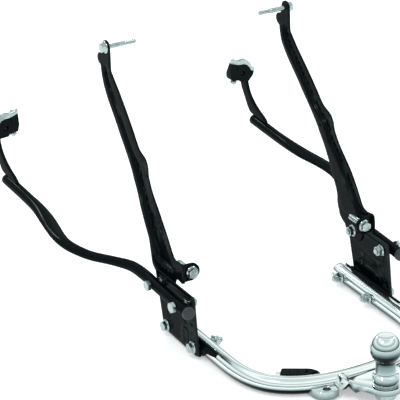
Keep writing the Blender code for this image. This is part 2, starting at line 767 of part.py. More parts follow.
def main():
    clear_scene()
    build_crossbar()
    build_saddle()
    build_side_plate()
    build_strut()
    build_ear()
    build_stay()
    build_stem()
    build_clamp()
    build_side_fasteners()
    build_frame_bolts()
    build_ball_mount()
    build_ball()
    build_chain_lugs()
    build_connector_bracket()


main()
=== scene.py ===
# %% [markdown]
# # A bolt-on motorcycle trailer hitch
# A U-shaped chrome tube carries a two-inch ball at the back. On each side a pressed steel plate bolts
# to it, and from that plate rise a black strut and a long bent stay that clamps to the motorcycle.
# The CAD model is loaded as a fixed frame. Tubes, struts and plates repeat its driving sizes, turned
# pieces are placed from its nodes' boxes, and cut pieces start from its nodes' own shapes.

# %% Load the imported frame
import json
import math

import bmesh
import bpy
import numpy as np
from mathutils import Matrix, Vector
from mathutils.geometry import delaunay_2d_cdt

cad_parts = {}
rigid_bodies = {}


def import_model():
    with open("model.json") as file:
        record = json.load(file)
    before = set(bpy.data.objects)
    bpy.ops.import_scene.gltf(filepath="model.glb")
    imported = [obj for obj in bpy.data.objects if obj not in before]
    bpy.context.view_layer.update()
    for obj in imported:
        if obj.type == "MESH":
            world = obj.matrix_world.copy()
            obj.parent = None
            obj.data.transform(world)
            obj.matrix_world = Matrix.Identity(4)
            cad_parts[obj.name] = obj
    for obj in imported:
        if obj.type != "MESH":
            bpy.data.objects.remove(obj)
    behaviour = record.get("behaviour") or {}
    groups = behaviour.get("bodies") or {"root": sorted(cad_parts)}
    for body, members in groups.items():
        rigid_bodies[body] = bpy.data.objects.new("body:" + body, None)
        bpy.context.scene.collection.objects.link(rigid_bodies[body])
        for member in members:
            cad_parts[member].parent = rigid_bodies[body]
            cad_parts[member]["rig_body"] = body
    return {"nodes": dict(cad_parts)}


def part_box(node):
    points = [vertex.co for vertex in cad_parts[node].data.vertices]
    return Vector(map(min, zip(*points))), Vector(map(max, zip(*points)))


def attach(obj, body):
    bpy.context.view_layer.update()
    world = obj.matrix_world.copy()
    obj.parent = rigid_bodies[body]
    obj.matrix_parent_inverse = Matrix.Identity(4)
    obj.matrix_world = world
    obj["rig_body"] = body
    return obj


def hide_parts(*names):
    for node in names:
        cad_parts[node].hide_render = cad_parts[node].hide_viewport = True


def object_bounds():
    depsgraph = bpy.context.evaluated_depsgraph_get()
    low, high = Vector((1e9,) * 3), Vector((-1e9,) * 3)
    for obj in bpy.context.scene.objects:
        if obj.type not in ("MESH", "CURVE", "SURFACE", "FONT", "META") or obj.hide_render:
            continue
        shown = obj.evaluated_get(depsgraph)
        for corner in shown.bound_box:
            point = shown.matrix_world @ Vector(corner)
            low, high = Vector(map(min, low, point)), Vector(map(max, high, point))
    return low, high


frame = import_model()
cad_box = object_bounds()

MM = 0.001                # lengths below are in millimetres and scaled once
SIDES = (("right", 1.0), ("left", -1.0))
print("nodes in the frame:", len(frame["nodes"]))

# %% [markdown]
# ## Camera first
# A product shot of a long object is taken with a long lens from a few metres away, so that the far
# struts keep their size. The camera stands behind and above, to the left of the hitch, and looks
# forwards and down. It is placed by two angles, a distance, and how far the ball lies from the
# line that the lens looks along.

# %% Camera
BALL_CENTRE = Vector((0.0, 0.0, 79.0)) * MM
AZIMUTH, ELEVATION, ROLL = math.radians(30.992), math.radians(23.924), math.radians(-0.405)
DISTANCE = 4.1494                     # metres, along the lens axis
RIGHT_OF_AXIS, ABOVE_AXIS = 0.0879, -0.3088   # where the ball lies, in metres
SENSOR_WIDTH = 36.0
FOCAL_SHARE = 6.7984                  # focal length over sensor width
SHIFT = (-0.32054, -0.13571)          # shares of the frame


def camera_axes():
    """Unit vectors that point forward, right and up as the camera sees them."""
    forward = Vector((math.sin(AZIMUTH) * math.cos(ELEVATION),
                      math.cos(AZIMUTH) * math.cos(ELEVATION), -math.sin(ELEVATION)))
    level = Vector((math.cos(AZIMUTH), -math.sin(AZIMUTH), 0.0))
    rise = level.cross(forward)
    right = level * math.cos(ROLL) + rise * math.sin(ROLL)
    up = rise * math.cos(ROLL) - level * math.sin(ROLL)
    return forward, right, up


forward, right, up = camera_axes()
lens = bpy.data.cameras.new("camera")
lens.sensor_width = SENSOR_WIDTH
lens.lens = FOCAL_SHARE * SENSOR_WIDTH
lens.shift_x, lens.shift_y = SHIFT
lens.clip_end = 60.0
camera = bpy.data.objects.new("camera", lens)
bpy.context.scene.collection.objects.link(camera)
camera.matrix_world = Matrix((right, up, -forward)).transposed().to_4x4()
camera.location = BALL_CENTRE - forward * DISTANCE - right * RIGHT_OF_AXIS - up * ABOVE_AXIS
bpy.context.scene.camera = camera
print("camera at", [round(v, 3) for v in camera.location])

# %% [markdown]
# ## How a material is written
# Colours are picked as sRGB hex codes, because that is how colour charts give them, and one function
# turns them to the linear values that a shader works in. One more function adds a node with its
# settings and its links, so that each material below reads as a short list of steps.


# %% Colour and node helpers
def linear(code):
    """An sRGB hex colour as linear RGBA."""
    shares = [int(code[i:i + 2], 16) / 255 for i in (1, 3, 5)]
    return tuple(c / 12.92 if c <= 0.04045 else ((c + 0.055) / 1.055) ** 2.4
                 for c in shares) + (1.0,)


def add(tree, kind, settings=None, values=None, links=None):
    """Adds one node: its own settings, its inputs' values, and what feeds its inputs."""
    made = tree.nodes.new(kind)
    for key, value in (settings or {}).items():
        setattr(made, key, value)
    for key, value in (values or {}).items():
        made.inputs[key].default_value = value
    for key, socket in (links or {}).items():
        tree.links.new(socket, made.inputs[key])
    return made


def per_metre(size_mm):
    """Scale of a pattern whose features are this many millimetres apart."""
    return 1.0 / (size_mm * MM)


def start_material(name):
    """An empty material with its Principled shader and a source of positions in metres."""
    material = bpy.data.materials.new(name)
    material.use_nodes = True
    tree = material.node_tree
    shader = tree.nodes["Principled BSDF"]
    return material, tree, shader, add(tree, "ShaderNodeTexCoord").outputs["Object"]


def ramp(tree, factor, stops):
    """Colour ramp from (position, hex colour) stops."""
    made = add(tree, "ShaderNodeValToRGB", links={"Fac": factor})
    bands = made.color_ramp.elements
    while len(bands) < len(stops):
        bands.new(0.5)
    for band, (position, code) in zip(bands, stops):
        band.position, band.color = position, linear(code)
    return made.outputs["Color"]


def spread(tree, factor, low, high, start=0.3, end=0.7):
    """Maps a pattern to a range, such as a roughness from low to high."""
    return add(tree, "ShaderNodeMapRange",
               values={"From Min": start, "From Max": end, "To Min": low, "To Max": high},
               links={"Value": factor}).outputs["Result"]


print("helpers ready")

# %% [markdown]
# ## Bright chrome plate
# Decorative chrome is a mirror with a cold blue-green cast. The nickel beneath it levels the steel,
# but never perfectly: long slow waves bend the reflections, and handling leaves a faint haze.
# So it is a metal with a very low roughness that varies, and a bump of shallow waves. A chrome
# shop shot has a dark floor under it, and its reflection is painted into the base colour: a painted
# floor reflection, dark where the surface faces down. Each painted reflection is a list of stops,
# from 0 where the surface faces straight down to 1 where it faces up.


# %% Chrome
def chrome_plate(name, floor_reflection_stops, haze):
    """Chrome with a painted floor reflection from these stops in its colour, and a roughness that
    varies over the range of its haze.
    """
    material, tree, shader, where = start_material(name)
    waves = add(tree, "ShaderNodeTexNoise", values={"Scale": per_metre(34), "Detail": 2.0},
                links={"Vector": where})
    smears = add(tree, "ShaderNodeTexNoise", values={"Scale": per_metre(21), "Detail": 4.0},
                 links={"Vector": where})
    pits = add(tree, "ShaderNodeTexNoise", values={"Scale": per_metre(1.6), "Detail": 3.0},
               links={"Vector": where})
    normal = add(tree, "ShaderNodeNewGeometry").outputs["Normal"]
    facing_up = add(tree, "ShaderNodeSeparateXYZ", links={"Vector": normal}).outputs["Z"]
    # painted reflection of a dark floor: the base colour darkens where the surface faces down
    painted_floor_reflection = ramp(tree, spread(tree, facing_up, 0.0, 1.0, -1.0, 1.0), floor_reflection_stops)
    smeared_floor_reflection = add(tree, "ShaderNodeMix", {"data_type": "RGBA", "blend_type": "MULTIPLY"},
                 {"Factor": 0.12}, {"A": painted_floor_reflection, "B": smears.outputs["Color"]})
    tree.links.new(smeared_floor_reflection.outputs["Result"], shader.inputs["Base Color"])
    tree.links.new(spread(tree, smears.outputs["Fac"], *haze), shader.inputs["Roughness"])
    slow = add(tree, "ShaderNodeBump", values={"Strength": 0.05, "Distance": 0.3 * MM},
               links={"Height": waves.outputs["Fac"]})
    fine = add(tree, "ShaderNodeBump", values={"Strength": 0.006, "Distance": 0.02 * MM},
               links={"Height": pits.outputs["Fac"], "Normal": slow.outputs["Normal"]})
    tree.links.new(fine.outputs["Normal"], shader.inputs["Normal"])
    shader.inputs["Metallic"].default_value = 1.0
    return material


# the first list of each chrome is a painted floor reflection, darkest where the surface faces down
BAR_CHROME = chrome_plate("bright_chrome_on_steel_tube",
                          [(0.36, "#0A1010"), (0.42, "#1E2929"), (0.47, "#7C8D90"),
                           (0.52, "#AEBCBB"), (0.63, "#EEF5F4")], (0.05, 0.10))
BALL_CHROME = chrome_plate("polished_chrome_on_turned_ball",
                           [(0.28, "#0A1010"), (0.38, "#1E2929"), (0.46, "#5E7072"),
                            (0.54, "#98AAAB"), (0.72, "#CDD8D7"), (0.88, "#EAF1F0")],
                           (0.03, 0.07))
print("chrome:", BAR_CHROME.name, BALL_CHROME.name)

# %% [markdown]
# ## Black powder coat
# Powder is sprayed on dry and melts into a thick skin. It flows into low rounded hills about a
# millimetre and a half across, called orange peel, which break the highlights into soft strokes.
# Sharp edges are painted a little paler than the flats: a painted highlight along them.


# %% Powder coat
def powder_coat():
    """Black paint whose gloss comes from a clear coat, with a painted highlight on its sharp edges.
    """
    material, tree, shader, where = start_material("semi_gloss_black_powder_coat")
    peel = add(tree, "ShaderNodeTexNoise", values={"Scale": per_metre(1.5), "Detail": 1.5},
               links={"Vector": where})
    dust = add(tree, "ShaderNodeTexNoise",
               values={"Scale": per_metre(18), "Detail": 7.0, "Roughness": 0.7},
               links={"Vector": where})
    body = ramp(tree, dust.outputs["Fac"], [(0.3, "#02080A"), (0.7, "#060F11")])
    # painted highlight: sharp edges, found by pointiness, are mixed towards a paler teal
    painted_edge_highlight = spread(tree, add(tree, "ShaderNodeNewGeometry").outputs["Pointiness"],
                   0.0, 1.0, 0.55, 0.62)
    colour = add(tree, "ShaderNodeMix", {"data_type": "RGBA"}, {"B": linear("#1E2828")},
                 {"Factor": painted_edge_highlight, "A": body})
    tree.links.new(colour.outputs["Result"], shader.inputs["Base Color"])
    tree.links.new(spread(tree, dust.outputs["Fac"], 0.24, 0.33), shader.inputs["Roughness"])
    bump = add(tree, "ShaderNodeBump", values={"Strength": 0.16, "Distance": 0.04 * MM},
               links={"Height": peel.outputs["Fac"]})
    tree.links.new(bump.outputs["Normal"], shader.inputs["Normal"])
    shader.inputs["Specular IOR Level"].default_value = 0.0
    shader.inputs["Coat Weight"].default_value = 0.13
    shader.inputs["Coat Roughness"].default_value = 0.14
    return material


POWDER = powder_coat()
print("paint:", POWDER.name)

# %% [markdown]
# ## Bright zinc plate
# The bolts and nuts are zinc plated and passivated clear. Zinc is softer looking than chrome: grey
# with a blue-green tint, with small cloudy grains and a blurred reflection.


# %% Zinc
def zinc_plate():
    """Cloudy grey metal."""
    material, tree, shader, where = start_material("clear_passivated_zinc_plate")
    grains = add(tree, "ShaderNodeTexVoronoi", values={"Scale": per_metre(1.1)},
                 links={"Vector": where})
    cloud = add(tree, "ShaderNodeTexNoise",
                values={"Scale": per_metre(5), "Detail": 6.0, "Roughness": 0.7},
                links={"Vector": where})
    grey = ramp(tree, cloud.outputs["Fac"], [(0.32, "#93A3A3"), (0.66, "#BAC7C6")])
    tint = add(tree, "ShaderNodeMix", {"data_type": "RGBA"},
               {"Factor": 0.12, "B": linear("#8FA3A4")}, {"A": grey})
    tree.links.new(tint.outputs["Result"], shader.inputs["Base Color"])
    tree.links.new(spread(tree, cloud.outputs["Fac"], 0.17, 0.27), shader.inputs["Roughness"])
    bump = add(tree, "ShaderNodeBump", values={"Strength": 0.06, "Distance": 0.02 * MM},
               links={"Height": grains.outputs["Distance"]})
    tree.links.new(bump.outputs["Normal"], shader.inputs["Normal"])
    shader.inputs["Metallic"].default_value = 1.0
    return material


ZINC = zinc_plate()
print("plating:", ZINC.name)

# %% [markdown]
# ## Moulded plastic
# The caps in the tube ends are moulded polyethylene: dark grey, dull, with the fine grain of a
# spark-eroded mould. Real grain is about 0.3 mm; it is drawn at 0.7 mm so that it shows.


# %% Plastic
def moulded_plastic():
    """Dull dark plastic with a fine grain."""
    material, tree, shader, where = start_material("moulded_polyethylene")
    grain = add(tree, "ShaderNodeTexVoronoi", values={"Scale": per_metre(0.7)},
                links={"Vector": where})
    flow = add(tree, "ShaderNodeTexNoise", values={"Scale": per_metre(12), "Detail": 4.0},
               links={"Vector": where})
    tree.links.new(ramp(tree, flow.outputs["Fac"], [(0.3, "#1E2728"), (0.7, "#2A3334")]),
                   shader.inputs["Base Color"])
    tree.links.new(spread(tree, flow.outputs["Fac"], 0.48, 0.62), shader.inputs["Roughness"])
    bump = add(tree, "ShaderNodeBump", values={"Strength": 0.25, "Distance": 0.05 * MM},
               links={"Height": grain.outputs["Distance"]})
    tree.links.new(bump.outputs["Normal"], shader.inputs["Normal"])
    return material


PLASTIC = moulded_plastic()
FINISHES = {"bar_chrome": BAR_CHROME, "ball_chrome": BALL_CHROME, "black_coat": POWDER,
            "zinc_plate": ZINC, "cap_plastic": PLASTIC}
print("plastic:", PLASTIC.name)

# %% [markdown]
# ## From points to a piece
# Every piece is a mesh made in code. This cell turns points and faces into an object, faces its
# surface outwards, shades it smooth except at real edges, gives it its finish, and hangs it on the
# CAD body that its node belongs to, so that it moves with that body's joint.


# %% Making a piece
def finish_piece(piece, node, slot, sharp=32.0):
    """Shading, finish and body for a piece that stands for one CAD node."""
    work = bmesh.new()
    work.from_mesh(piece.data)
    bmesh.ops.recalc_face_normals(work, faces=work.faces)
    work.to_mesh(piece.data)
    work.free()
    for face in piece.data.polygons:
        face.use_smooth = True
    piece.data.set_sharp_from_angle(angle=math.radians(sharp))
    piece.data.materials.clear()
    piece.data.materials.append(FINISHES[slot])
    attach(piece, frame["nodes"][node]["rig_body"])
    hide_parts(node)
    return piece


def new_object(name, points, faces):
    """An object from points in millimetres."""
    mesh = bpy.data.meshes.new(name)
    mesh.from_pydata([Vector(p) * MM for p in points], [], faces)
    piece = bpy.data.objects.new(name, mesh)
    bpy.context.scene.collection.objects.link(piece)
    return piece


def bake(piece):
    """Replaces a piece's mesh by what its modifiers make of it."""
    bpy.context.view_layer.update()
    shape = piece.evaluated_get(bpy.context.evaluated_depsgraph_get())
    mesh = bpy.data.meshes.new_from_object(shape)
    piece.modifiers.clear()
    piece.data = mesh
    return piece


def box_mm(node):
    """A CAD node's lowest and highest corners, in millimetres."""
    low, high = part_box(node)
    return low / MM, high / MM


def skin(rings, loop=False):
    """Points and faces of a surface drawn over rings of points; its ends are closed or joined."""
    count, total = len(rings[0]), len(rings)
    points = [point for ring in rings for point in ring]
    faces = []
    for r in range(total if loop else total - 1):
        for i in range(count):
            j = (i + 1) % count
            low, high = r * count, (r + 1) % total * count
            faces.append((low + i, low + j, high + j, high + i))
    if not loop:
        faces += [tuple(range(count)), tuple(range((total - 1) * count, total * count))]
    return points, faces


# %% [markdown]
# ## Smooth curves through a few knots
# The tubes are drawn as a few knots, as a bender's drawing gives them. A cubic curve through the
# knots, with the slope at each knot taken from its two neighbours, gives the dense line that a
# mirror finish needs, because a chrome tube shows every corner of a coarse one.


# %% Curves and tubes
def eased(knots, steps):
    """Rows on a smooth curve through the knots, with this many steps between two of them."""
    rows = []
    for i in range(len(knots) - 1):
        one, two = Vector(knots[i]), Vector(knots[i + 1])
        before = Vector(knots[i - 1]) if i else one
        after = Vector(knots[min(i + 2, len(knots) - 1)])
        reach = (two - one).length
        leave = (two - before) * reach / (two - before).length
        arrive = (after - one) * reach / (after - one).length
        for k in range(steps):
            t = k / steps
            rows.append(one * (2 * t ** 3 - 3 * t ** 2 + 1) + leave * (t ** 3 - 2 * t ** 2 + t)
                        + two * (3 * t ** 2 - 2 * t ** 3) + arrive * (t ** 3 - t ** 2))
    return rows + [Vector(knots[-1])]


def around(count):
    """Angles spaced evenly over one turn."""
    return [2 * math.pi * i / count for i in range(count)]


def tube_rings(rows, wall, count, rim=0.7):
    """Rings over a tube, out along its outside and back along its bore, with rounded rims.

    A row is (x, y, z, half the width, half the height).
    """
    line = [Vector(row[:3]) for row in rows]
    frames = []
    for i, point in enumerate(line):
        tangent = (line[min(i + 1, len(line) - 1)] - line[max(i - 1, 0)]).normalized()
        side = tangent.cross(Vector((0, 0, 1))).normalized()
        frames.append((point, tangent, side, side.cross(tangent).normalized()))

    def ring(i, inward, along=0.0):
        point, tangent, side, rise = frames[i]
        wide, high = rows[i][3] - inward, rows[i][4] - inward
        return [point + tangent * along + side * wide * math.cos(a) + rise * high * math.sin(a)
                for a in around(count)]

    last = len(rows) - 1
    rings = [ring(0, rim), ring(0, rim * 0.3, rim * 0.3), ring(0, 0.0, rim)]
    rings += [ring(i, 0.0) for i in range(1, last)]
    rings += [ring(last, 0.0, -rim), ring(last, rim * 0.3, -rim * 0.3), ring(last, rim)]
    rings += [ring(last, wall - 0.3), ring(last, wall, -0.4)]
    rings += [ring(i, wall) for i in range(last - 1, 0, -1)]
    return rings + [ring(0, wall, 0.4), ring(0, wall - 0.3)]


# %% [markdown]
# ## The crossbar
# The real bar is one length of 28.6 mm steel tube, bent to a U on a mandrel and then chrome plated.
# Its arms are straight, its bends are wide, and the span behind the ball bows a little backwards.
# It is a sweep of a round section, open at both front ends, where the wall shows.

# %% Crossbar
BAR_R, BAR_WALL = 14.3, 3.0
ARM_X, ARM_FRONT_Y, BAR_MID_Y = 160.0, 400.0, 74.0
BAR_HALF = [(ARM_X, ARM_FRONT_Y), (ARM_X, 340.0), (ARM_X, 280.0), (ARM_X, 222.0), (159.6, 200.0),
            (158.0, 180.0), (154.4, 160.0), (148.4, 142.0), (139.6, 126.0), (128.0, 112.6),
            (114.0, 101.6), (98.0, 92.6), (80.0, 85.6), (58.0, 79.6), (32.0, 75.6)]


def bar_rows(steps):
    """The whole bar's centreline, from one front end round to the other."""
    half = [(x, y, 0.0, BAR_R, BAR_R) for x, y in BAR_HALF]
    other = [(-x, y, 0.0, BAR_R, BAR_R) for x, y in reversed(BAR_HALF)]
    return eased(half + [(0.0, BAR_MID_Y, 0.0, BAR_R, BAR_R)] + other, steps)


bar = new_object("bar_bent_tube", *skin(tube_rings(bar_rows(4), BAR_WALL, 64), loop=True))
finish_piece(bar, "crossbar_tube", "bar_chrome")
print("crossbar:", len(bar.data.polygons), "faces")

# %% [markdown]
# ## The front stays
# Each stay is a 19 mm tube that leaves its plate, swings outwards past the wheel and then runs
# forwards. In the bend it is pressed flatter, which shows as a wide, shallow stretch.
# The section's two half sizes are part of the knots, so the flattening comes with the curve.

# %% Stay tubes
STAY_R, STAY_X = 9.5, 197.5
STAY_KNOTS = [
    (STAY_X, 270, 74.5, 9.5, 9.5), (STAY_X, 381, 78.0, 9.5, 9.5), (STAY_X, 415, 79.6, 9.5, 9.4),
    (202.6, 450, 81.8, 9.2, 8.8), (218.8, 485, 81.0, 8.8, 7.5), (240.8, 520, 81.0, 8.9, 7.4),
    (254.8, 550, 83.9, 9.7, 7.6), (260.6, 575, 86.1, 10.6, 7.4), (260.6, 600, 88.0, 11.9, 6.4),
    (256.6, 630, 89.9, 13.0, 5.8), (250.8, 665, 91.2, 13.1, 6.9), (246.4, 705, 93.4, 11.2, 8.4),
    (245.0, 750, 94.8, 9.5, 9.3), (244.8, 832, 98.2, 9.5, 9.5),
]
STAY_WALL = 2.0


def mirrored(points, sign):
    """Points for the right side where sign is 1, and for the left where it is -1."""
    return [(point[0] * sign, point[1], point[2]) for point in points]


stay_points, stay_faces = skin(tube_rings(eased(STAY_KNOTS, 7), STAY_WALL, 40), loop=True)
for side, sign in SIDES:
    stay = new_object("stay_bent_tube_" + side, mirrored(stay_points, sign), stay_faces)
    finish_piece(stay, "stay_tube_" + side, "black_coat")
print("stay tube:", len(stay_faces), "faces each")

# %% [markdown]
# ## Turned pieces
# Bolts, nuts, spacers, caps and the ball are all made on a lathe or a header, so they share one
# idea: a list of rows along an axis, where each row says how far the surface is from the axis at
# each angle. A plain row is a circle, a hexagon row is cut off by the cone of its chamfer, and a
# thread row rises and falls once per turn and pitch, which draws a true helix.


# %% Rows and turning
def plain(radius):
    """A round row."""
    return lambda angle: radius


def hexed(flats, cone):
    """A hexagon of this half width across its flats, cut off by a cone's radius."""
    def reach(angle):
        fold = (angle + math.pi / 6) % (math.pi / 3) - math.pi / 6
        return min(flats / math.cos(fold), cone)
    return reach


def thread_rows(start, end, radius, pitch, depth):
    """Rows that draw a helix from start to end, and fade out at both ends."""
    def reach(distance):
        fade = min(1.0, (distance - start) / pitch, (end - distance) / pitch)

        def at(angle):
            turn = (distance / pitch - angle / (2 * math.pi)) % 1.0
            return radius - depth * fade * abs(2 * turn - 1)
        return at
    count = max(4, int((end - start) / pitch * 6))
    return [(d, reach(d)) for d in np.linspace(start, end, count)]


def turned(rows, base, direction, count=48, bore=None):
    """Points and faces of a turned solid whose axis starts at base and runs along direction."""
    forward = Vector(direction).normalized()
    helper = Vector((0, 0, 1)) if abs(forward.z) < 0.9 else Vector((0, 1, 0))
    side = helper.cross(forward).normalized()
    rise = forward.cross(side)

    def ring(distance, reach):
        return [Vector(base) + forward * distance
                + (side * math.cos(a) + rise * math.sin(a)) * reach(a) for a in around(count)]

    rings = [ring(distance, reach) for distance, reach in rows]
    if bore:
        rings += [ring(rows[-1][0] - 0.3, plain(bore)), ring(rows[0][0] + 0.3, plain(bore))]
    return skin(rings, loop=bool(bore))


def hex_rows(seat, top, flats):
    """A hexagon from its chamfered top down to its seat, whichever way that is."""
    corner = flats / math.cos(math.pi / 6)
    inwards = math.copysign(1.0, seat - top)
    rows = [(top, hexed(flats, flats * 0.80)), (top, hexed(flats, flats * 0.94))]
    rows += [(top + inwards * drop, hexed(flats, flats * 0.94 + drop * 1.9))
             for drop in (0.25, 0.55, 0.95)]
    rows += [(top + inwards * 1.3, hexed(flats, corner + 0.1)), (seat, hexed(flats, corner + 0.1))]
    return rows


print("turning ready")

# %% [markdown]
# ## Hitch ball
# A two-inch ball is forged, turned and polished: a sphere with a small flat on its crown where the
# lathe centre was, a narrow waist, and a wide foot that seats on the plate. The seam that the
# reflection draws round the ball is what makes it read as a mirror.

# %% Ball
BALL_R, BALL_Z = 25.4, 79.0
CROWN_ANGLE, WAIST_ANGLE = 58.0, -46.0      # latitudes where the flat and the neck begin
crown_z = BALL_Z + BALL_R * math.sin(math.radians(CROWN_ANGLE))
profile = [(crown_z + 0.5, 6.0), (crown_z + 0.4, 11.5), (crown_z + 0.1, 13.0)]
profile += [(BALL_Z + BALL_R * math.sin(math.radians(a)), BALL_R * math.cos(math.radians(a)))
            for a in np.linspace(CROWN_ANGLE - 1.5, WAIST_ANGLE, 44)]
profile += [(59.2, 17.0), (58.0, 16.4), (56.0, 16.0), (52.0, 15.8), (46.0, 15.8), (41.0, 16.0),
            (38.6, 16.4), (36.8, 17.3), (35.4, 18.8), (34.7, 20.0), (34.2, 20.5), (33.6, 20.8),
            (24.6, 20.8), (23.8, 20.5), (23.2, 19.9), (22.3, 19.5), (22.3, 9.5), (-11.0, 9.5),
            (-12.5, 8.2)]
rows = [(BALL_Z - height, plain(radius)) for height, radius in profile]
ball = new_object("ball_polished", *turned(rows, (0, 0, BALL_Z), (0, 0, -1), count=96))
finish_piece(ball, "hitch_ball", "ball_chrome", 40.0)
print("ball radius:", BALL_R, "mm")

# %% [markdown]
# ## Fasteners
# Flange bolts have their washer forged on, so the load spreads on thin plate. Each bolt's seat,
# length and axis come from the box of its CAD node. The visible shanks carry a cut thread of
# 1.5 mm pitch, which is coarse enough to show.


# %% Bolts and nuts
M10_SHANK, M10_CLEAR = 5.0, 5.3              # radii of a shank and of the hole it passes through
FLANGE_HEX, PLAIN_HEX = 7.6, 8.2             # half widths across the flats
BOLT_FLANGE, NUT_FLANGE = 10.4, 10.2
FLANGE_HEAD, PLAIN_HEAD = 8.2, 6.6           # heights
TURNED_SHARP = 28.0                          # degrees; above this an edge stays sharp


def bolt_rows(length, shank, flats, head, flange, thread_from, slim=None):
    """Rows from the head's top (a negative distance) through the seat at 0 to the tip."""
    rows = hex_rows(-2.9 if flange else -0.7, -head, flats)
    slim = slim or shank
    if flange:
        rows += [(-2.7, plain(flats + 0.5)), (-2.3, plain(flange - 1.9)),
                 (-1.5, plain(flange - 0.4)), (-0.8, plain(flange)), (0.0, plain(flange - 0.2))]
    else:
        rows += [(-0.6, plain(flats - 0.4)), (0.0, plain(flats - 0.4))]
    rows += [(0.0, plain(shank)), (thread_from - 0.8, plain(shank)), (thread_from, plain(slim))]
    rows += thread_rows(thread_from + 0.1, length - 1.6, slim, 1.5, 0.4)
    return rows + [(length - 1.2, plain(slim - 0.5)), (length, plain(slim - 1.4))]


def nut_rows(height, flats, flange):
    """Rows of a flanged nut from its seat at 0 upwards."""
    crown = hex_rows(2.9 if flange else 0.8, height, flats)
    foot = [(0.0, plain((flange or flats) - 0.3)), (0.7, plain(flange or flats - 0.3))]
    if flange:
        foot += [(1.5, plain(flange - 0.6)), (2.4, plain(flange - 2.0)), (2.7, plain(flats + 0.5))]
    return foot + crown[::-1]


def along_x(node, sign, towards_middle):
    """Where a part on an X axis starts, and its length."""
    low, high = box_mm(node)
    y, z = (low.y + high.y) / 2, (low.z + high.z) / 2
    outer, inner = (high.x, low.x) if sign > 0 else (low.x, high.x)
    start = outer if towards_middle else inner
    return (start, y, z), abs(high.x - low.x)


def fit_bolt(node, sign, head, shank, flats, flange, thread_from=None, slim=None):
    """A bolt along X whose head is on the outside; its length comes from its node."""
    (start, y, z), size = along_x(node, sign, True)
    length = size - head
    rows = bolt_rows(length, shank, flats, head, flange, thread_from or 0.55 * length, slim)
    shape = turned(rows, (start - sign * head, y, z), (-sign, 0, 0))
    return finish_piece(new_object(node + "_forged", *shape), node, "zinc_plate", TURNED_SHARP)


def fit_nut(node, sign, flats, flange, bore):
    """A nut along X that seats on its outer side."""
    (start, y, z), size = along_x(node, sign, True)
    shape = turned(nut_rows(size, flats, flange), (start, y, z), (-sign, 0, 0), bore=bore)
    return finish_piece(new_object(node + "_forged", *shape), node, "zinc_plate", TURNED_SHARP)


for side, sign in SIDES:
    for number in ("_1", "_2"):
        end = side + number
        fit_bolt("bar_bolt_" + end, sign, FLANGE_HEAD, M10_SHANK, FLANGE_HEX, BOLT_FLANGE)
        fit_nut("bar_nut_" + end, sign, FLANGE_HEX, NUT_FLANGE, M10_CLEAR)
        fit_bolt("stay_bolt_" + end, sign, PLAIN_HEAD, M10_SHANK, PLAIN_HEX, None)
        fit_nut("stay_nut_" + end, sign, FLANGE_HEX, NUT_FLANGE, M10_CLEAR)
        (start, y, z), size = along_x("stay_spacer_" + end, sign, False)
        rows = [(0, plain(7.5)), (0.5, plain(8.0)), (size - 0.5, plain(8.0)), (size, plain(7.5))]
        spacer = new_object("stay_spacer_turned_" + end,
                            *turned(rows, (start, y, z), (sign, 0, 0), bore=M10_CLEAR))
        finish_piece(spacer, "stay_spacer_" + end, "zinc_plate")
    fit_bolt("top_bolt_" + side, sign, head=8.6, shank=4.0, flats=7.4, flange=10.2,
             thread_from=32.6, slim=3.5)
print("side fasteners made")

# %% Ear bolts, clamp bolts and the ball's nut
for side, sign in SIDES:
    node = "ear_bolt_" + side
    low, high = box_mm(node)
    middle = (low + high) / 2
    rows = bolt_rows(high.y - low.y - FLANGE_HEAD, M10_SHANK, FLANGE_HEX, FLANGE_HEAD,
                     BOLT_FLANGE, 14.0)
    shape = turned(rows, (middle.x, low.y + FLANGE_HEAD, middle.z), (0, 1, 0))
    finish_piece(new_object(node + "_forged", *shape), node, "zinc_plate", TURNED_SHARP)

    node = "clamp_bolt_" + side
    low, high = box_mm(node)
    middle = (low + high) / 2
    head, length = 3.4, high.z - low.z - 3.4
    rows = [(-head, plain(2.4)), (-head, plain(3.6)), (-2.7, plain(4.5)), (-2.0, plain(4.8)),
            (0, plain(4.8)), (0, plain(3.0)), (20.0, plain(3.0))]
    rows += thread_rows(20.2, length - 1.0, 3.0, 1.0, 0.5)
    rows += [(length, plain(2.2))]
    shape = turned(rows, (middle.x, middle.y, high.z - head), (0, 0, -1))
    finish_piece(new_object(node + "_forged", *shape), node, "zinc_plate", TURNED_SHARP)

    node = "clamp_nut_" + side
    low, high = box_mm(node)
    middle = (low + high) / 2
    shape = turned(nut_rows(high.z - low.z, 5.2, None), (middle.x, middle.y, high.z),
                   (0, 0, -1), bore=3.3)
    finish_piece(new_object(node + "_forged", *shape), node, "zinc_plate", TURNED_SHARP)

STUD_CLEAR = 9.8
low, high = box_mm("ball_nut")
shape = turned(nut_rows(high.z - low.z, 14.2, None), (0, 0, high.z), (0, 0, -1), bore=STUD_CLEAR)
finish_piece(new_object("ball_nut_forged", *shape), "ball_nut", "zinc_plate", TURNED_SHARP)
low, high = box_mm("ball_washer")
rows = [(0, plain(19.2)), (0.4, plain(19.6)), (high.z - low.z - 0.4, plain(19.6)),
        (high.z - low.z, plain(19.2))]
washer = new_object("ball_washer_turned", *turned(rows, (0, 0, low.z), (0, 0, 1), 72,
                                                   bore=STUD_CLEAR))
finish_piece(washer, "ball_washer", "zinc_plate")
print("ear, clamp and ball fasteners made")

# %% [markdown]
# ## Caps in the stay tubes
# The rear end of each stay wears a pushed-in cap with a slightly domed face and a soft rim, and the
# front end a flush plug. Both follow the tube's own direction at that end.

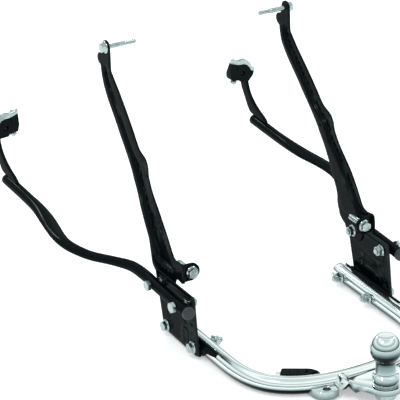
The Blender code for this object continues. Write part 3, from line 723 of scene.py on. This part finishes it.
# %% Caps
for name, tip, further, outer, lip in (
        ("stay_end_cap", STAY_KNOTS[0], STAY_KNOTS[1], STAY_R + 1.0, 7.0),
        ("stay_front_plug", STAY_KNOTS[-1], STAY_KNOTS[-2], STAY_R, 3.6)):
    inwards = (Vector(further[:3]) - Vector(tip[:3])).normalized()
    bore_fit = STAY_R - STAY_WALL - 0.3
    rows = [(-lip, plain(outer * 0.25)), (-lip + 0.1, plain(outer * 0.55)),
            (-lip + 0.4, plain(outer - 2.2)), (-lip + 0.9, plain(outer - 1.0)),
            (-lip + 1.7, plain(outer - 0.25)), (-lip + 2.6, plain(outer)), (0, plain(outer)),
            (0, plain(bore_fit)), (12.0, plain(bore_fit - 0.3))]
    points, faces = turned(rows, Vector(tip[:3]) - inwards * 0.3, inwards)
    for side, sign in SIDES:
        cap = new_object(name + "_moulded_" + side, mirrored(points, sign), faces)
        finish_piece(cap, name + "_" + side, "cap_plastic", 50.0)
print("caps made")

# %% [markdown]
# ## Pressed sheet
# The struts and side plates are steel sheet, pressed in a die: the flat blank keeps its thickness
# and its surface rises over smooth walls. So a blank is cut to its outline and filled with
# triangles that follow each pressing's wall, every point is moved out by the height of the
# pressing there, and Solidify and Bevel give the sheet its thickness and its broken edges.


# %% Outlines and distances
def rounded(outline, radius, steps=4):
    """Outline with its corners rounded."""
    result = []
    for i, here in enumerate(map(Vector, outline)):
        before = Vector(outline[i - 1]) - here
        after = Vector(outline[(i + 1) % len(outline)]) - here
        reach = min(radius, 0.45 * before.length, 0.45 * after.length)
        start, end = here + before.normalized() * reach, here + after.normalized() * reach
        for k in range(steps + 1):
            t = k / steps
            result.append(tuple(start * (1 - t) ** 2 + here * 2 * t * (1 - t) + end * t ** 2))
    return result


def curved(outline, steps=3):
    """Closed smooth curve through the points of an outline."""
    points = [np.array(p, float) for p in outline]
    count, result = len(points), []
    for i in range(count):
        a, b, c, d = (points[(i + k) % count] for k in (-1, 0, 1, 2))
        for k in range(steps):
            t = k / steps
            result.append(tuple(0.5 * (2 * b + (c - a) * t + (2 * a - 5 * b + 4 * c - d) * t ** 2
                                       + (3 * b - a - 3 * c + d) * t ** 3)))
    return result


def disc(centre, radius, count=20):
    """Loop round a circle."""
    return [(centre[0] + radius * math.cos(a), centre[1] + radius * math.sin(a))
            for a in around(count)]


def depth_in(points, loop):
    """Distance of each point from a closed loop, positive inside it."""
    points, loop = np.array(points, float), np.array(loop, float)
    start, end = loop, np.roll(loop, -1, axis=0)
    edge = end - start
    offset = points[:, None, :] - start[None, :, :]
    share = np.clip((offset * edge).sum(2) / np.maximum((edge ** 2).sum(1), 1e-12), 0, 1)
    gap = np.linalg.norm(offset - share[:, :, None] * edge, axis=2).min(1)
    y, z = points[:, :1], points[:, 1:]
    crosses = (start[:, 1] > z) != (end[:, 1] > z)
    with np.errstate(divide="ignore", invalid="ignore"):
        at = start[:, 0] + (z - start[:, 1]) * edge[:, 0] / edge[:, 1]
    inside = (crosses & (y < at)).sum(1) % 2 == 1
    return np.where(inside, gap, -gap)


def moved_in(loop, distance):
    """A loop moved inwards by a distance, for the lines of points along a pressing's wall."""
    count = len(loop)
    area = sum(loop[i - 1][0] * loop[i][1] - loop[i][0] * loop[i - 1][1] for i in range(count))
    turn = 1.0 if area > 0 else -1.0
    result = []
    for i in range(count):
        along = (Vector(loop[(i + 1) % count]) - Vector(loop[i - 1])).normalized()
        result.append(tuple(Vector(loop[i]) + Vector((-along.y, along.x)) * turn * distance))
    return result


# %% Pressing a blank
def pressed_sheet(name, outline, pressings, holes, grid, place_x, thickness, edge_mm):
    """A pressed blank in the YZ plane.

    A pressing is (loop, height, wall width): the sheet rises by height across the wall. place_x
    gives the sheet's middle at points (y, z), before the pressings.
    """
    loops = [outline] + [disc(*hole) for hole in holes]
    for loop, height, wall in pressings:
        loops += [moved_in(loop, wall * s) for s in (-0.15, 0.25, 0.5, 0.75, 1.15)]
    points, edges = [], []
    for loop in loops:
        start, count = len(points), len(loop)
        points += loop
        edges += [(start + i, start + (i + 1) % count) for i in range(count)]
    ys, zs = [p[0] for p in outline], [p[1] for p in outline]
    fill = [(y, z) for y in np.arange(min(ys), max(ys), grid)
            for z in np.arange(min(zs), max(zs), grid)]
    keep = depth_in(fill, outline) > grid * 0.35
    points += [p for p, inside in zip(fill, keep) if inside]
    verts, _, faces, *_ = delaunay_2d_cdt([Vector(p) for p in points], edges, [], 0, 1e-3)
    flat = np.array([tuple(v) for v in verts])
    centres = np.array([flat[list(face)].mean(0) for face in faces])
    solid = depth_in(centres, outline) > 0
    for centre, radius in holes:
        solid &= np.hypot(*(centres - np.array(centre)).T) > radius * 0.985
    height_of = np.zeros(len(flat))
    for loop, height, wall in pressings:
        share = np.clip(depth_in(flat, loop) / wall, 0, 1)
        height_of += height * share * share * (3 - 2 * share)
    x = place_x(flat[:, 1]) + height_of
    sheet = new_object(name, np.column_stack([x, flat[:, 0], flat[:, 1]]).tolist(),
                       [face for face, inside in zip(faces, solid) if inside])
    work = bmesh.new()
    work.from_mesh(sheet.data)
    bmesh.ops.delete(work, geom=[v for v in work.verts if not v.link_faces], context="VERTS")
    bmesh.ops.recalc_face_normals(work, faces=work.faces)
    work.to_mesh(sheet.data)
    work.free()
    thick = sheet.modifiers.new("sheet", "SOLIDIFY")
    thick.thickness, thick.offset = thickness * MM, 0.0
    edge = sheet.modifiers.new("edge", "BEVEL")
    edge.width, edge.segments = edge_mm * MM, 2
    edge.limit_method, edge.angle_limit = "ANGLE", math.radians(55)
    return bake(sheet)


def mirror_copy(piece, name):
    """The same piece for the left side."""
    mesh = piece.data.copy()
    mesh.transform(Matrix.Scale(-1, 4, (1, 0, 0)))
    mesh.flip_normals()
    twin = bpy.data.objects.new(name, mesh)
    bpy.context.scene.collection.objects.link(twin)
    return twin


# %% [markdown]
# ## Struts
# Each strut is a 3.2 mm pressing: a wide foot on the side plate, a waist with a small wing, and a
# narrow tongue that bolts to the motorcycle. A trough down its length stiffens it. From outside it
# is a channel, and from inside a rounded ridge with a bright line along each shoulder. The sheet
# leans outwards between two bend lines, so that its foot meets the side plate.

# %% Struts
TAB_X, LEAN, LEAN_TOP_Z, LEAN_LOW_Z, DOME = (166.4, 169.6), 9.0, 350.0, 180.0, 6.0
TOP_BOLT, STAY_BOLTS = (580.5, 412.0), ((381.0, 78.0), (298.0, 75.0))
STRUT_OUTLINE = [
    (571, 418.5), (575, 422.2), (580, 423.6), (585.5, 422.5), (590, 419), (592.5, 413),
    (593, 405), (597, 398), (604, 395.5), (609, 392.5), (612, 385), (608.6, 377.8),
    (601.5, 374.5), (600, 366), (595.5, 350), (586.5, 335), (572, 318), (550.7, 297),
    (532.6, 277), (518.5, 263), (503, 246), (490.5, 231), (483, 219), (471, 202), (459, 180),
    (446, 155), (433.5, 134), (428.7, 115), (426, 103), (423, 92), (414, 84), (406, 80),
    (401, 69), (392, 62), (372, 61), (361, 66), (352, 77), (346, 93), (336, 99.5),
    (318, 99.5), (318, 129.5), (338, 128.5), (352, 132.5),
    (361.5, 145.3), (373, 162), (390.5, 184), (407, 201.4), (422, 217), (432, 231.8),
    (436.5, 240.6), (438, 250.5), (440, 256), (444.5, 263), (453, 268), (467, 273),
    (479.7, 285), (490.3, 297), (510.4, 317.7), (532, 338.5), (549.6, 355), (564, 369.5),
    (568, 374), (569, 384), (569, 405),
]
TROUGH = [(588, 379), (592, 369), (588, 356), (576, 340), (560, 322), (540, 302),
          (522, 282), (505, 262), (489, 244), (478, 230), (468, 215), (456, 194),
          (444, 172), (430, 146), (416, 120), (408, 106),
          (380, 104), (350, 106), (358, 124), (371, 140), (391, 161), (409, 181), (425, 201),
          (443, 218), (450, 230), (456, 243), (465, 251), (478, 259), (491, 269),
          (504, 283), (524, 305), (545, 326), (564, 346), (575, 361), (580, 376)]


def strut_middle(z):
    """The sheet's middle plane at each height: the tab's plane above, LEAN further out below."""
    share = np.clip((LEAN_TOP_Z - z) / (LEAN_TOP_Z - LEAN_LOW_Z), 0, 1)
    return sum(TAB_X) / 2 + LEAN * share


strut = pressed_sheet(
    "strut_pressed_right", curved(STRUT_OUTLINE), [(curved(TROUGH), -DOME, 3.2)],
    [(TOP_BOLT, 4.3), (STAY_BOLTS[0], M10_CLEAR), ((468.0, 239.5), 3.6), ((421.0, 153.6), 2.4)],
    7.0, strut_middle, TAB_X[1] - TAB_X[0], 0.6)
finish_piece(mirror_copy(strut, "strut_pressed_left"), "strut_left", "black_coat", 42.0)
finish_piece(strut, "strut_right", "black_coat", 42.0)
print("strut:", len(strut.data.polygons), "faces each")

# %% [markdown]
# ## Side plates
# The side plates are thicker sheet with small pressings: two upright ribs and short bars on the
# outside, and a raised band under the stay. They keep thin plate from drumming.

# %% Side plates
PLATE_X = (178.9, 182.7)
BAR_BOLTS = ((372.0, 3.0), (284.0, 3.0))


def bar_between(start, end, half):
    """Loop round a straight bar from start to end."""
    start, end = Vector(start), Vector(end)
    along = (end - start).normalized() * half
    across = Vector((-along.y, along.x))
    return rounded([start - along + across, end + along + across, end + along - across,
                    start - along - across], half * 0.8, 3)


ribs = [bar_between((315.5, 18), (315.5, 0), 2.2), bar_between((301, 24), (301, 3), 2.2),
        bar_between((312, 27), (304, 27), 1.9), bar_between((290, 41), (284, 41), 2.1)]
dots = [disc((287, 26), 2.3, 12), disc((286.5, 16), 2.0, 12)]
band = rounded([(288, 54), (290, 87), (398, 87), (391, 60), (330, 51)], 5)
recess = rounded([(305, 33), (310, 46), (352, 49), (352, 33)], 4)
plate = pressed_sheet(
    "plate_pressed_right",
    rounded([(268, -9), (279, 91), (406, 91), (381, -6)], 7, 6),
    [(rib, 1.5, 1.5) for rib in ribs] + [(dot, 1.1, 1.4) for dot in dots]
    + [(band, -1.3, 2.2), (recess, 1.0, 2.0), (disc((360, 30), 9.0, 24), -1.0, 2.0),
       (disc((360, 30), 5.5, 20), 1.4, 2.0)],
    [(spot, M10_CLEAR) for spot in BAR_BOLTS + STAY_BOLTS], 6.0,
    lambda z: np.full(len(z), sum(PLATE_X) / 2), PLATE_X[1] - PLATE_X[0] - 0.2, 0.6)
finish_piece(mirror_copy(plate, "plate_pressed_left"), "side_plate_left", "black_coat", 42.0)
finish_piece(plate, "side_plate_right", "black_coat", 42.0)
print("side plate:", len(plate.data.polygons), "faces each")

# %% [markdown]
# ## Cut and forged pieces
# Saddles, ears, stems, clamps, the ball plate and the lugs have the right shape in the CAD model,
# but their edges are knife sharp there. Real edges are sheared, ground and plated, so they are
# round, and a round edge is what catches the light. Each is copied, its flat faces are joined
# again, and its edges are rolled over by a bevel of its own size.


# %% Rolling the edges
def rolled(node, name, slot, width, steps=3, angle=28.0):
    """A copy of a node whose edges are rolled over by this width."""
    piece = bpy.data.objects.new(name, frame["nodes"][node].data.copy())
    bpy.context.scene.collection.objects.link(piece)
    work = bmesh.new()
    work.from_mesh(piece.data)
    bmesh.ops.remove_doubles(work, verts=work.verts, dist=0.02 * MM)
    bmesh.ops.dissolve_limit(work, angle_limit=math.radians(1.5), verts=work.verts,
                             edges=work.edges)
    work.to_mesh(piece.data)
    work.free()
    if "custom_normal" in piece.data.attributes:
        piece.data.attributes.remove(piece.data.attributes["custom_normal"])
    edge = piece.modifiers.new("edge", "BEVEL")
    edge.width, edge.segments = width * MM, steps
    edge.limit_method, edge.angle_limit = "ANGLE", math.radians(angle)
    edge.use_clamp_overlap = True
    bake(piece)
    return finish_piece(piece, node, slot, 38.0)


for side, sign in SIDES:
    rolled("saddle_" + side, "saddle_folded_" + side, "black_coat", 0.8)
    rolled("ear_" + side, "ear_sheared_" + side, "black_coat", 0.9)
    rolled("stem_" + side, "stem_cut_" + side, "black_coat", 1.0)
    rolled("clamp_body_" + side, "clamp_cast_" + side, "black_coat", 0.9)
    rolled("clamp_strap_" + side, "clamp_strap_cast_" + side, "zinc_plate", 1.0)
    rolled("chain_lug_" + side, "chain_lug_cut_" + side, "bar_chrome", 0.5)
rolled("ball_plate", "ball_plate_machined", "bar_chrome", 0.6)
rolled("connector_plate", "connector_plate_cut", "black_coat", 0.6)
rolled("connector_lug", "connector_lug_cut", "bar_chrome", 0.8)
print("rolled edges on 15 pieces")

# %% [markdown]
# ## Floor and light
# The object stands on plain white paper that is lit a little from beneath, which keeps shadows
# faint. A studio tent gives chrome its look: bright above, grey towards the horizon, with broad
# soft lights. The sky is a ramp from the horizon to the top.

# %% Floor
low, high = cad_box
FLOOR_Z = low.z - 0.8 * MM           # just under the lowest point
FLOOR_HALF = 40.0                    # metres, so that its edge is out of sight
floor_mesh = bpy.data.meshes.new("floor")
floor_mesh.from_pydata([(x * FLOOR_HALF, y * FLOOR_HALF, FLOOR_Z)
                        for x, y in ((-1, -1), (1, -1), (1, 1), (-1, 1))], [], [(0, 1, 2, 3)])
floor = bpy.data.objects.new("floor", floor_mesh)
bpy.context.scene.collection.objects.link(floor)
paper, tree, shader, where = start_material("white_background_paper")
fibre = add(tree, "ShaderNodeTexNoise", values={"Scale": 3.0, "Detail": 3.0},
            links={"Vector": where})
tree.links.new(ramp(tree, fibre.outputs["Fac"], [(0.3, "#F4F6F6"), (0.7, "#F9FAFA")]),
               shader.inputs["Base Color"])
shader.inputs["Roughness"].default_value = 0.9
shader.inputs["Specular IOR Level"].default_value = 0.1
shader.inputs["Emission Color"].default_value = linear("#FFFFFF")
shader.inputs["Emission Strength"].default_value = 0.42
floor_mesh.materials.append(paper)
print("floor at", round(FLOOR_Z / MM, 1), "mm")

# %% Sky
world = bpy.data.worlds.new("studio_tent")
bpy.context.scene.world = world
world.use_nodes = True
tree = world.node_tree
sky = add(tree, "ShaderNodeTexCoord").outputs["Generated"]
height = add(tree, "ShaderNodeSeparateXYZ", links={"Vector": sky}).outputs["Z"]
tent = ramp(tree, height, [(0.0, "#141E1E"), (0.05, "#334141"), (0.11, "#8B9C9B"),
                           (0.26, "#CBD7D6"), (0.44, "#F8FBFB"), (0.60, "#A5B6B5"),
                           (0.80, "#FFFFFF"), (1.0, "#C3D0CF")])
tree.links.new(tent, tree.nodes["Background"].inputs["Color"])
tree.nodes["Background"].inputs["Strength"].default_value = 1.22


# %% Lights
def soft_light(name, place, target, size, watts, tint="#FFFFFF"):
    """A round lamp that points at its target and that the camera can't see."""
    data = bpy.data.lights.new(name, "AREA")
    data.shape, data.size, data.energy = "DISK", size, watts
    data.color = linear(tint)[:3]
    lamp = bpy.data.objects.new(name, data)
    bpy.context.scene.collection.objects.link(lamp)
    lamp.location = place
    lamp.rotation_mode = "QUATERNION"
    lamp.rotation_quaternion = (Vector(target) - Vector(place)).to_track_quat("-Z", "Y")
    lamp.visible_camera = False
    return lamp


middle = (low + high) / 2
soft_light("key", middle + Vector((-1.4, -0.6, 2.4)), middle, 0.45, 13.0)
soft_light("fill", middle + Vector((2.2, 0.4, 1.8)), middle, 0.5, 8.0, "#F2FBFA")
soft_light("rim", middle + Vector((-0.4, 2.4, 1.6)), middle, 0.4, 8.0, "#F2FBFA")
bpy.context.scene.view_settings.view_transform = "Standard"
print("lights set")
